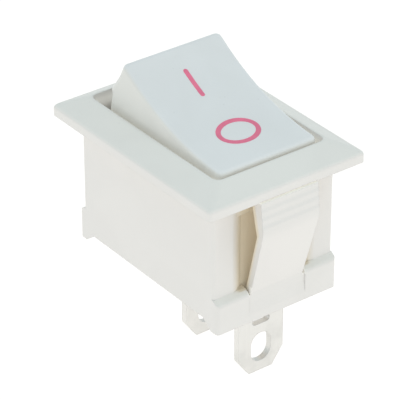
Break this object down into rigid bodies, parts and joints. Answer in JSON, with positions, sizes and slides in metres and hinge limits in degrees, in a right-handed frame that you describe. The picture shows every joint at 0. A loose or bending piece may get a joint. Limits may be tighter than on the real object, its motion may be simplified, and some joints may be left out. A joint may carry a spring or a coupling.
{
  "type": "rocker switch",
  "caption": "Small snap-in panel rocker switch with a rectangular bezel, hollowed key, serrated snap arms and solder lugs.",
  "frame": {"origin": "centre of the panel cut-out, on the plane of the bezel's underside that seats on the panel", "axes": "+Z out of the panel, towards the user; +X along the bezel's long side, towards the rocker's O end, which is pressed at rest; Y across, along the rocker's pivot"},
  "size_m": [0.0156, 0.011, 0.0174],
  "materials": {
    "housing": "moulded white nylon, fine satin",
    "rocker": "moulded white, soft sheen",
    "plunger": "natural acetal",
    "plunger_spring": "drawn wire",
    "moving_contact": "copper alloy strip",
    "moving_contact_rivet": "silver, dull",
    "fixed_contact_rivet": "silver, dull",
    "common_terminal": "tin-plated brass",
    "load_terminal": "tin-plated brass"
  },
  "bodies": {
    "body": {"housing": "housing", "common_terminal": "common_terminal", "load_terminal": "load_terminal", "fixed_contact_rivet": "fixed_contact_rivet"},
    "key": {"rocker": "rocker", "plunger_spring": "plunger_spring"},
    "pin": {"plunger": "plunger"},
    "seesaw": {"moving_contact": "moving_contact", "moving_contact_rivet": "moving_contact_rivet"}
  },
  "joints": [
    {"name": "rocker_tilt", "type": "hinge", "parent": "body", "child": "key", "pos_m": [0, 0, -0.0009], "axis": [0, -1, 0], "range_deg": [0, 36]},
    {"name": "seesaw_tilt", "type": "hinge", "parent": "body", "child": "seesaw", "pos_m": [0, 0, -0.00482], "axis": [0, 1, 0], "range_deg": [0, 18]},
    {"name": "plunger_slide", "type": "slide", "parent": "key", "child": "pin", "axis": [0.309, 0, 0.9511], "range_m": [0, 0.0004], "stiffness_N_per_m": 400, "springref_m": -0.001, "deforming": ["plunger_spring"]}
  ],
  "couplings": [
    {"joint": "seesaw_tilt", "follows": "rocker_tilt", "ratio": 0.5}
  ]
}
